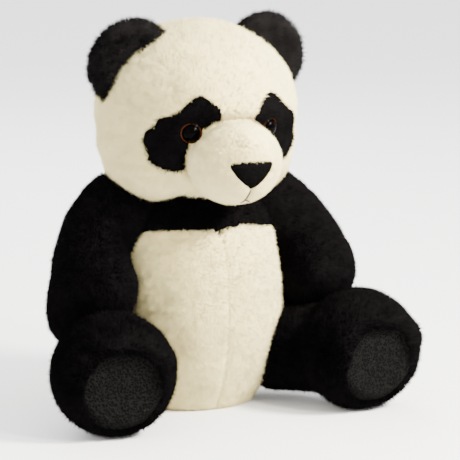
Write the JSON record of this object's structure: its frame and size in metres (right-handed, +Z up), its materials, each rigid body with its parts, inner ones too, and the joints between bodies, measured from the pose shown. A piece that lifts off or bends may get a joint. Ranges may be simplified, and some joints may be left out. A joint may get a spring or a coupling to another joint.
{
  "type": "seated plush panda",
  "caption": "Seated soft plush panda with a round head, big muzzle, splayed legs with flat soles, floppy arms and folding ears",
  "frame": {"origin": "middle of the flat seat, on the surface it sits on", "axes": "+Z up, the panda faces -Y, its own left is +X"},
  "size_m": [0.314, 0.2106, 0.323],
  "materials": {
    "cream_plush": "short soft pile",
    "black_plush": "short soft pile",
    "charcoal_sole": "crinkled short nap",
    "nose_cloth": "brushed short nap",
    "eye_black": "glossy",
    "eye_amber": "glossy",
    "washer_plastic": "moulded",
    "fibre_fill": "loose fibre",
    "pellet_bag_cloth": "plain weave",
    "pellets": "loose beads",
    "thread_cream": "twisted thread",
    "thread_brown": "twisted thread",
    "label_satin": "woven ribbon, blank"
  },
  "bodies": {
    "torso": {"chest_yoke": "black_plush", "back_yoke": "black_plush", "base_panel": "cream_plush", "torso_stuffing": "fibre_fill", "seat_pellet_bag": "pellet_bag_cloth", "seat_pellets": "pellets", "closing_stitches": "thread_cream", "care_label": "label_satin", "tail_skin": "cream_plush", "tail_stuffing": "fibre_fill", "belly_panel_left": "cream_plush", "belly_panel_right": "cream_plush", "back_panel_left": "cream_plush", "back_panel_right": "cream_plush"},
    "neck": {"neck_stuffing": "fibre_fill"},
    "head": {"crown_gusset": "cream_plush", "throat_panel": "cream_plush", "muzzle_top_panel": "cream_plush", "nose_patch": "nose_cloth", "mouth_stitch": "thread_brown", "head_stuffing": "fibre_fill", "head_side_left": "cream_plush", "head_side_right": "cream_plush", "muzzle_cheek_left": "cream_plush", "muzzle_cheek_right": "cream_plush", "eye_patch_left": "black_plush", "eye_patch_right": "black_plush", "eye_dome_left": "eye_black", "eye_dome_right": "eye_black", "eye_ring_left": "eye_amber", "eye_ring_right": "eye_amber", "eye_washer_left": "washer_plastic", "eye_washer_right": "washer_plastic"},
    "ear_left": {"ear_front_left": "black_plush", "ear_back_left": "black_plush", "ear_stuffing_left": "fibre_fill"},
    "arm_left": {"arm_outer_left": "black_plush", "arm_inner_left": "black_plush", "arm_stuffing_left": "fibre_fill"},
    "leg_left": {"leg_outer_left": "black_plush", "leg_inner_left": "black_plush", "sole_pad_left": "charcoal_sole", "leg_stuffing_left": "fibre_fill"},
    "ear_right": {"ear_front_right": "black_plush", "ear_back_right": "black_plush", "ear_stuffing_right": "fibre_fill"},
    "arm_right": {"arm_outer_right": "black_plush", "arm_inner_right": "black_plush", "arm_stuffing_right": "fibre_fill"},
    "leg_right": {"leg_outer_right": "black_plush", "leg_inner_right": "black_plush", "sole_pad_right": "charcoal_sole", "leg_stuffing_right": "fibre_fill"}
  },
  "joints": [
    {"name": "neck_turn", "type": "hinge", "parent": "torso", "child": "neck", "pos_m": [0, -0.004, 0.182], "axis": [0, 0, 1], "range_deg": [-25, 25], "stiffness_Nm_per_rad": 0.5},
    {"name": "head_nod", "type": "hinge", "parent": "neck", "child": "head", "pos_m": [0, -0.004, 0.182], "axis": [1, 0, 0], "range_deg": [-8, 8], "stiffness_Nm_per_rad": 2},
    {"name": "ear_left_fold", "type": "hinge", "parent": "head", "child": "ear_left", "pos_m": [0.063, -0.019, 0.29], "axis": [0.66, 0.1646, -0.733], "range_deg": [-12, 18], "stiffness_Nm_per_rad": 0.02},
    {"name": "arm_left_raise", "type": "hinge", "parent": "torso", "child": "arm_left", "pos_m": [0.069, -0.008, 0.159], "axis": [0, -1, 0], "range_deg": [0, 50], "stiffness_Nm_per_rad": 0.3},
    {"name": "leg_left_splay", "type": "hinge", "parent": "torso", "child": "leg_left", "pos_m": [0.07, -0.034, 0.042], "axis": [0, 0, 1], "range_deg": [0, 10], "stiffness_Nm_per_rad": 0.3},
    {"name": "ear_right_fold", "type": "hinge", "parent": "head", "child": "ear_right", "pos_m": [-0.063, -0.019, 0.29], "axis": [0.66, -0.1646, 0.733], "range_deg": [-12, 18], "stiffness_Nm_per_rad": 0.02},
    {"name": "arm_right_raise", "type": "hinge", "parent": "torso", "child": "arm_right", "pos_m": [-0.069, -0.008, 0.159], "axis": [0, 1, 0], "range_deg": [0, 50], "stiffness_Nm_per_rad": 0.3},
    {"name": "leg_right_splay", "type": "hinge", "parent": "torso", "child": "leg_right", "pos_m": [-0.07, -0.034, 0.042], "axis": [0, 0, -1], "range_deg": [0, 10], "stiffness_Nm_per_rad": 0.3}
  ]
}
